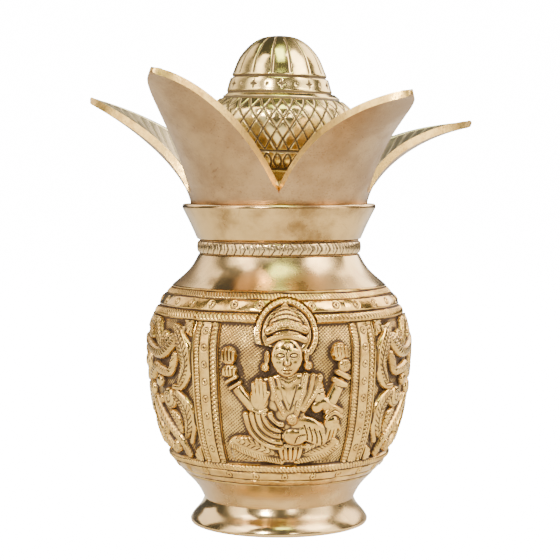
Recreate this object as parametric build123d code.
from build123d import *

import math
import os

# A brass kalash: a footed water pot, a loose crown of five mango leaves standing in its mouth,
# and a loose brass coconut standing in the crown.  Millimetres, +Z up, the origin at the middle
# of the foot's resting ring, the main figure panel facing -Y.

# --- driving dimensions ------------------------------------------------------------------------
FOOT_R = 35.6            # resting ring, outside
FOOT_HEIGHT = 10.0       # table to the brazed joint at the waist
FOOT_WALL = 3.6
WAIST_R = 30.0           # narrowest place, where foot and belly meet

BELLY_R = 52.8           # widest place, over the relief
BELLY_WIDEST = 56.0      # height of the widest place above the waist
SHOULDER_HEIGHT = 41.5   # widest place up to the neck joint
BELLY_WALL = 4.6
BELLY_FLOOR = 4.0
BOSS_STEP = 1.5          # boss under the floor that centres the belly in the foot

NECK_R = 32.2            # belly's top edge, outside
NECK_TUBE_R = 29.8       # tube of the mouth that stands inside the neck ring
NECK_TUBE_WALL = 2.2
NECK_TUBE_DEPTH = 3.0    # how far the tube goes down into the belly
NECK_RING_R = 32.8
NECK_RING_HEIGHT = 6.1

MOUTH_R = 38.6           # flared rim, outside
MOUTH_HEIGHT = 14.0
RIM_WALL = 3.0
RIM_EDGE = 1.4           # upright edge under the rim's flat top

CUP_TOP_R = 37.6         # leaf crown's cup where its notches begin
CUP_TOP_RISE = 6.8       # notch bottoms above the pot's rim
CUP_WALL = 3.2
SKIRT_DEPTH = 9.6        # how far the cup's skirt stands down inside the mouth
CROWN_TURN = -3.0        # the crown stands turned a little in the mouth, degrees
LEAF_COUNT = 5
LEAF_WALL = 2.8
LEAF_END_HALF_WIDTH = 1.2
ROOT_DEPTH = 3.0         # how far a leaf's root goes down into the cup's wall
ROOT_OVERLAP = 0.2       # and how far in from the wall's faces

SEAT_R = 31.2            # floor disc of the crown
SEAT_THICKNESS = 2.7
SEAT_BELOW_NOTCH = 1.9
SEAT_HOLE_R = 8.0
SEAT_LEDGE = 1.9         # width of the ledge under the disc

COCONUT_R = 30.0
COCONUT_HEIGHT = 57.4    # base face to the top of the dome
COCONUT_WALL = 2.6
CAP_HEIGHT = 23.6        # joint of shell and cap down from the top
CAP_R = 22.4
STAR_BAND_HEIGHT = 7.2   # band round the foot of the cap, and how much it draws in
STAR_BAND_DRAW_IN = 3.2
PLUG_R = 14.0
PLUG_THICKNESS = 4.0
PLUG_MARGIN = 1.4        # shell's base edge outside the plug
PLUG_LIP = 1.2           # lip that centres the plug in the shell
SPIGOT_LENGTH = 7.0

# --- clearances --------------------------------------------------------------------------------
SLIP = 0.3               # crown in mouth, coconut in crown: loose pieces
BRAZE = 0.0              # brazed faces meet

# --- the relief's main divisions on the belly, in degrees and millimetres above the table -------
PANEL_LOW, PANEL_HIGH = 29.0, 84.0
PANEL_DEPTH = 2.2
PILASTER_ANGLE = 36.25   # middle of each upright border from the front or back middle
PILASTER_WIDTH = 13.0
BAND_GROOVES = (23.2, 26.5, 84.6, 88.0, 92.4, 95.0)
GROOVE_R = 0.55

# The belly's outline as shares of its height and of its radius change, waist to widest place
# and widest place to neck: a hollow over the foot, a full side, a hollow shoulder.
LOWER_CURVE = ((0.107, 0.149), (0.25, 0.49), (0.39, 0.71), (0.68, 0.92))
UPPER_CURVE = ((0.36, 0.06), (0.53, 0.225), (0.684, 0.44), (0.839, 0.79))

# Each leaf: direction from the front in degrees, tip's radius and height, and the two handles of
# its rib curve as (out, up) from the cup's edge and back from the tip.  The leaves were bent
# outwards by hand, so no two are quite alike.
LEAVES = (
    (-36.0, 79.0, 177.0, (10.0, 16.0), (-14.0, -8.0)),
    (36.0, 82.0, 169.0, (10.0, 15.0), (-18.0, -7.0)),
    (108.0, 84.5, 160.5, (8.0, 10.0), (-24.0, -4.0)),
    (180.0, 82.0, 166.0, (9.0, 13.0), (-18.0, -7.0)),
    (-108.0, 83.0, 170.0, (8.0, 12.0), (-18.0, -8.0)),
)
LEAF_SECTIONS = 9

# --- heights worked out from the above ----------------------------------------------------------
BELLY_TOP = FOOT_HEIGHT + BELLY_WIDEST + SHOULDER_HEIGHT
RING_TOP = BELLY_TOP + NECK_RING_HEIGHT
RIM_TOP = RING_TOP + MOUTH_HEIGHT
NOTCH_Z = RIM_TOP + CUP_TOP_RISE
SKIRT_BOTTOM = RIM_TOP - SKIRT_DEPTH
SEAT_TOP = NOTCH_Z - SEAT_BELOW_NOTCH
SEAT_BOTTOM = SEAT_TOP - SEAT_THICKNESS
PLUG_BOTTOM = SEAT_TOP + SLIP
SHELL_BOTTOM = PLUG_BOTTOM + PLUG_THICKNESS
COCONUT_TOP = SHELL_BOTTOM + COCONUT_HEIGHT
CAP_BOTTOM = COCONUT_TOP - CAP_HEIGHT

FRONT = -90.0            # the front is -Y


def turned(*edges, arc=360.0, middle=0.0):
    """Turn a closed (radius, height) outline about the pot's axis, all round or over an arc."""
    solid = revolve(Plane.XZ * make_face(edges), Axis.Z, revolution_arc=arc)
    return Rot(0, 0, FRONT + middle - arc / 2) * solid if arc < 360.0 else solid


def ring(inner_r, outer_r, low, high):
    """A plain ring or tube."""
    return turned(Polyline((inner_r, low), (outer_r, low), (outer_r, high), (inner_r, high), close=True))


def belly_outline(inset=0.0, floor=0.0):
    """Waist to neck as one smooth curve, moved in by inset, its bottom raised by floor."""
    low, high = FOOT_HEIGHT + floor, FOOT_HEIGHT + BELLY_WIDEST
    rise, swell, draw_in = high - low, BELLY_R - WAIST_R, BELLY_R - NECK_R
    points = [(WAIST_R - inset, low)]
    points += [(WAIST_R + swell * r - inset, low + rise * h) for h, r in LOWER_CURVE]
    points += [(BELLY_R - inset, high)]
    points += [(BELLY_R - draw_in * r - inset, high + SHOULDER_HEIGHT * h) for h, r in UPPER_CURVE]
    points += [(NECK_R - inset, BELLY_TOP)]
    return Spline(*points)


def radius_at(outline, height):
    """Radius of a rising outline at a height, found by halving."""
    low, high = 0.0, 1.0
    for _ in range(40):
        middle = (low + high) / 2
        if (outline @ middle).Y < height:
            low = middle
        else:
            high = middle
    return (outline @ low).X


def band(outline, low, high, depth):
    """A closed strip of outline between two heights: from depth inside it to just outside it."""
    steps = 8
    heights = [low + (high - low) * i / steps for i in range(steps + 1)]
    inner = [(radius_at(outline, z) - depth, z) for z in heights]
    outer = [(radius_at(outline, z) + 2.0, z) for z in heights]
    return (Spline(*inner), Line(inner[-1], outer[-1]), Spline(*outer), Line(outer[0], inner[0]))


def make_foot():
    """Spread foot, hollow underneath, its flat top brazed to the belly."""
    toe = FOOT_HEIGHT * 0.16
    bead = (FOOT_R - 0.6, 0.0)
    outside = Spline((FOOT_R, toe), (WAIST_R + 1.7, FOOT_HEIGHT * 0.65), (WAIST_R, FOOT_HEIGHT),
                     tangents=((-0.6, 1.0), (-0.1, 1.0)))
    inside_low, inside_high = FOOT_R - FOOT_WALL, WAIST_R - FOOT_WALL
    return turned(
        Line((inside_low, 0.0), bead), Line(bead, (FOOT_R, toe)), outside,
        Line((WAIST_R, FOOT_HEIGHT), (inside_high, FOOT_HEIGHT)),
        Line((inside_high, FOOT_HEIGHT), (inside_low, 0.0)),
    )


def make_panels(outline):
    """The four sunk fields between the upright borders: two for figures, two for scrollwork."""
    half_post = math.degrees(PILASTER_WIDTH / 2 / BELLY_R)
    figure_arc = 2 * (PILASTER_ANGLE - half_post)
    scroll_arc = 180.0 - 2 * (PILASTER_ANGLE + half_post)
    edges = band(outline, PANEL_LOW, PANEL_HIGH, PANEL_DEPTH)
    fields = [turned(*edges, arc=figure_arc, middle=side) for side in (0.0, 180.0)]
    fields += [turned(*edges, arc=scroll_arc, middle=side) for side in (90.0, 270.0)]
    return fields


def make_motifs(body):
    """Plain stand-ins for the relief: a seated figure's halo, body and seat, and scroll bosses."""
    middle_z = (PANEL_LOW + PANEL_HIGH) / 2
    reach = 2 * BELLY_R
    flat = Plane.XZ
    halo = Pos(0, middle_z + 18.0) * Circle(10.5)
    torso = Pos(0, middle_z) * Ellipse(10.0, 19.0)
    seat = Pos(0, middle_z - 19.5) * Ellipse(20.0, 6.5)
    figure = extrude(flat * (halo + torso + seat), reach)
    scroll = Sketch() + [Pos(x, middle_z + z) * Circle(r) for x, z, r in (
        (-16.0, 14.0, 7.0), (16.0, 14.0, 7.0), (0.0, 0.0, 8.0), (-16.0, -14.0, 7.0), (16.0, -14.0, 7.0))]
    bosses = extrude(flat * scroll, reach)
    turns = ((figure, 0.0), (figure, 180.0), (bosses, 90.0), (bosses, 270.0))
    return [body & (Rot(0, 0, turn) * shape) for shape, turn in turns]


def make_belly():
    """Cast belly: open at the neck, flat bottom with a boss that centres it in the foot."""
    outline, inside = belly_outline(), belly_outline(BELLY_WALL, BELLY_FLOOR)
    bottom_r, top_r = WAIST_R, NECK_R
    inner_low, inner_top = inside @ 0, inside @ 1
    shell = turned(
        Line((0, FOOT_HEIGHT), (bottom_r, FOOT_HEIGHT)), outline,
        Line((top_r, BELLY_TOP), (inner_top.X, inner_top.Y)), inside,
        Line((inner_low.X, inner_low.Y), (0, inner_low.Y)), Line((0, inner_low.Y), (0, FOOT_HEIGHT)),
    )
    sunk = shell - make_panels(outline)
    belly = sunk + make_motifs(shell)
    belly -= [turned(Pos(radius_at(outline, z), z) * Circle(GROOVE_R).edge()) for z in BAND_GROOVES]
    belly -= ring(0, NECK_TUBE_R + BRAZE, BELLY_TOP - NECK_TUBE_DEPTH, BELLY_TOP + 1.0)
    boss_r = WAIST_R - FOOT_WALL - BRAZE - BOSS_STEP
    return belly + ring(0, boss_r, FOOT_HEIGHT - BOSS_STEP, FOOT_HEIGHT + 1.0)


def make_neck_ring():
    """Decorated ring slipped over the mouth's tube, rounded on its outside."""
    half = NECK_RING_HEIGHT / 2
    inner = NECK_TUBE_R + BRAZE
    edge_r = NECK_RING_R - 0.5
    return turned(
        Line((inner, BELLY_TOP), (edge_r, BELLY_TOP)),
        ThreePointArc((edge_r, BELLY_TOP), (NECK_RING_R, BELLY_TOP + half), (edge_r, RING_TOP)),
        Line((edge_r, RING_TOP), (inner, RING_TOP)), Line((inner, RING_TOP), (inner, BELLY_TOP)),
    )


def mouth_inner_r(z):
    """Inside of the flared mouth, a plain cone from the tube's bore to the rim."""
    bore, rim = NECK_TUBE_R - NECK_TUBE_WALL, MOUTH_R - RIM_WALL
    return bore + (rim - bore) * (z - RING_TOP) / MOUTH_HEIGHT


def make_mouth():
    """Flared mouth with the tube that holds ring and belly in line."""
    bore, low = NECK_TUBE_R - NECK_TUBE_WALL, BELLY_TOP - NECK_TUBE_DEPTH
    base_r = NECK_R + 0.4
    lip_z = RIM_TOP - RIM_EDGE
    flare = Spline((base_r, RING_TOP), (base_r + 2.9, RING_TOP + MOUTH_HEIGHT * 0.46), (MOUTH_R, lip_z),
                   tangents=((0.15, 1.0), (0.35, 1.0)))
    return turned(
        Polyline((bore, low), (NECK_TUBE_R, low), (NECK_TUBE_R, RING_TOP), (base_r, RING_TOP)), flare,
        Polyline((MOUTH_R, lip_z), (MOUTH_R, RIM_TOP), (mouth_inner_r(RIM_TOP), RIM_TOP),
                 (bore, RING_TOP), (bore, low)),
    )


def cup_outer_r(z):
    """Outside of the crown's cup: the mouth's cone less the slip, then a flare to the notches."""
    slope = (mouth_inner_r(RIM_TOP) - mouth_inner_r(RING_TOP)) / MOUTH_HEIGHT
    level_slip = SLIP * math.hypot(1.0, slope)
    if z <= RIM_TOP:
        return mouth_inner_r(z) - level_slip
    share = (z - RIM_TOP) / CUP_TOP_RISE
    start = mouth_inner_r(RIM_TOP) - level_slip
    return start + (CUP_TOP_R - start) * share ** 1.4


def leaf_section(along, leaf):
    """One slice across a leaf: an arc strip, curved like the cup's wall, standing on its rib."""
    azimuth, tip_r, tip_z, out_handle, back_handle = leaf
    start = Vector(CUP_TOP_R, NOTCH_Z)
    tip = Vector(tip_r, tip_z)
    handles = (start, start + Vector(*out_handle), tip + Vector(*back_handle), tip)
    a, b = 1 - along, along
    weights = (a ** 3, 3 * a * a * b, 3 * a * b * b, b ** 3)
    slopes = (-3 * a * a, 3 * a * a - 6 * a * b, 6 * a * b - 3 * b * b, 3 * b * b)
    rib = sum((h * w for h, w in zip(handles, weights)), Vector())
    run = sum((h * w for h, w in zip(handles, slopes)), Vector()).normalized()
    tilt = min(along / 0.4, 1.0)
    up = (Vector(-1, 0) * (1 - tilt) + Vector(-run.Y, run.X) * tilt).normalized()
    full = CUP_TOP_R * math.sin(math.pi / LEAF_COUNT) - 0.4
    half = full * (1 - 0.2 * along) * max(1 - along ** 2.6, 0.0) ** 0.75
    return strip_face(azimuth, rib, up, max(half, LEAF_END_HALF_WIDTH), CUP_TOP_R, LEAF_WALL)


def strip_face(azimuth, rib, up, half, bend_r, wall):
    """A curved strip as a face: its outer arc through the rib point, its ends bent towards up."""
    inner_half, inner_r = half * (bend_r - wall) / bend_r, bend_r - wall
    rise = bend_r - math.sqrt(bend_r ** 2 - half ** 2)
    inner_rise = inner_r - math.sqrt(inner_r ** 2 - inner_half ** 2)
    outer = ThreePointArc((-half, rise), (0, 0), (half, rise))
    inner = ThreePointArc((-inner_half, wall + inner_rise), (0, wall), (inner_half, wall + inner_rise))
    face = make_face([outer, Line(outer @ 1, inner @ 1), inner, Line(inner @ 0, outer @ 0)])
    turn = math.radians(FRONT + CROWN_TURN + azimuth)
    outward, sideways = Vector(math.cos(turn), math.sin(turn), 0), Vector(-math.sin(turn), math.cos(turn), 0)
    rise_way = outward * up.X + Vector(0, 0, up.Y)
    place = outward * rib.X + Vector(0, 0, rib.Y)
    return Plane(origin=place, x_dir=sideways, z_dir=sideways.cross(rise_way)) * face


def make_leaf(leaf):
    """One leaf blade, its root sunk into the cup's wall."""
    root_z = NOTCH_Z - ROOT_DEPTH
    half = CUP_TOP_R * math.sin(math.pi / LEAF_COUNT) - 0.4
    root_r = cup_outer_r(root_z) - ROOT_OVERLAP
    root_half = half * root_r / CUP_TOP_R
    wall = LEAF_WALL - ROOT_OVERLAP
    root = strip_face(leaf[0], Vector(root_r, root_z), Vector(-1, 0), root_half, root_r, wall)
    slices = [leaf_section(i / (LEAF_SECTIONS - 1), leaf) for i in range(LEAF_SECTIONS)]
    return loft([root, *slices])


def make_leaf_crown():
    """Cup with five mango leaves, cast in one and cut apart down to the notches."""
    steps = 4
    flare = [(cup_outer_r(z), z) for z in (RIM_TOP + CUP_TOP_RISE * i / steps for i in range(steps + 1))]
    skirt_r, inner_low = cup_outer_r(SKIRT_BOTTOM), cup_outer_r(SKIRT_BOTTOM) - CUP_WALL
    seat_r, ledge_r = SEAT_R + BRAZE, SEAT_R - SEAT_LEDGE
    cup = turned(
        Line((inner_low, SKIRT_BOTTOM), (skirt_r, SKIRT_BOTTOM)), Line((skirt_r, SKIRT_BOTTOM), flare[0]),
        Spline(*flare),
        Polyline(flare[-1], (CUP_TOP_R - CUP_WALL, NOTCH_Z), (seat_r, SEAT_TOP), (seat_r, SEAT_BOTTOM),
                 (ledge_r, SEAT_BOTTOM), (inner_low, SKIRT_BOTTOM)),
    )
    return cup + [make_leaf(leaf) for leaf in LEAVES]


def make_crown_floor():
    """Turned disc on the cup's ledge, with the hole that centres the coconut."""
    return ring(SEAT_HOLE_R, SEAT_R, SEAT_BOTTOM, SEAT_TOP)


def shell_outline(inset=0.0):
    """Lattice part of the coconut, from its base up to the cap joint."""
    rise = CAP_BOTTOM - SHELL_BOTTOM
    points = ((PLUG_R + PLUG_MARGIN, 0.0), (COCONUT_R * 0.79, 0.2), (COCONUT_R - 0.6, 0.5), (COCONUT_R, 0.67),
              (CAP_R + 1.0, 1.0))
    return Spline(*[(r - inset, SHELL_BOTTOM + rise * h) for r, h in points])


def make_coconut_shell():
    """Lower part of the hollow coconut, open for the base plug and for the cap's spigot."""
    outside, inside = shell_outline(), shell_outline(COCONUT_WALL)
    return turned(
        Line(inside @ 0, outside @ 0), outside, Line(outside @ 1, inside @ 1), inside,
    )


def make_coconut_cap():
    """Star band and ribbed dome, brazed on the shell with a spigot inside it."""
    wall, band_top = COCONUT_WALL, CAP_BOTTOM + STAR_BAND_HEIGHT
    band_r = CAP_R - STAR_BAND_DRAW_IN
    top, inner_top = (0.0, COCONUT_TOP), (0.0, COCONUT_TOP - wall)
    ends = ((-0.25, 1.0), (-1.0, 0.0))
    shoulder_r = band_r - 4.2
    dome = Spline((band_r, band_top), (shoulder_r, COCONUT_TOP - 7.6), (band_r - 8.0, COCONUT_TOP - 2.6), top,
                  tangents=ends)
    inner_shoulder = (shoulder_r - wall * 0.9, COCONUT_TOP - 8.2 - wall * 0.4)
    inner = Spline((band_r - wall, band_top), inner_shoulder, inner_top, tangents=ends)
    return turned(
        Line((CAP_R - wall, CAP_BOTTOM), (CAP_R, CAP_BOTTOM)), Line((CAP_R, CAP_BOTTOM), (band_r, band_top)),
        dome,
        Line(top, inner_top), inner, Line((band_r - wall, band_top), (CAP_R - wall, CAP_BOTTOM)),
    )


def make_coconut_plug():
    """Base disc that closes the shell, and the spigot that drops through the crown's floor."""
    disc = ring(0, PLUG_R, PLUG_BOTTOM, SHELL_BOTTOM)
    lip = ring(0, PLUG_R + PLUG_MARGIN - COCONUT_WALL - BRAZE, SHELL_BOTTOM, SHELL_BOTTOM + PLUG_LIP)
    spigot = ring(0, SEAT_HOLE_R - SLIP, PLUG_BOTTOM - SPIGOT_LENGTH, PLUG_BOTTOM)
    return disc + lip + spigot


def main():
    os.makedirs("parts", exist_ok=True)
    nodes = {
        "foot": make_foot,
        "belly": make_belly,
        "neck_ring": make_neck_ring,
        "mouth_collar": make_mouth,
        "leaf_crown": make_leaf_crown,
        "crown_floor": make_crown_floor,
        "coconut_shell": make_coconut_shell,
        "coconut_cap": make_coconut_cap,
        "coconut_plug": make_coconut_plug,
    }
    for name, make in nodes.items():
        export_step(make(), f"parts/{name}.step")


main()
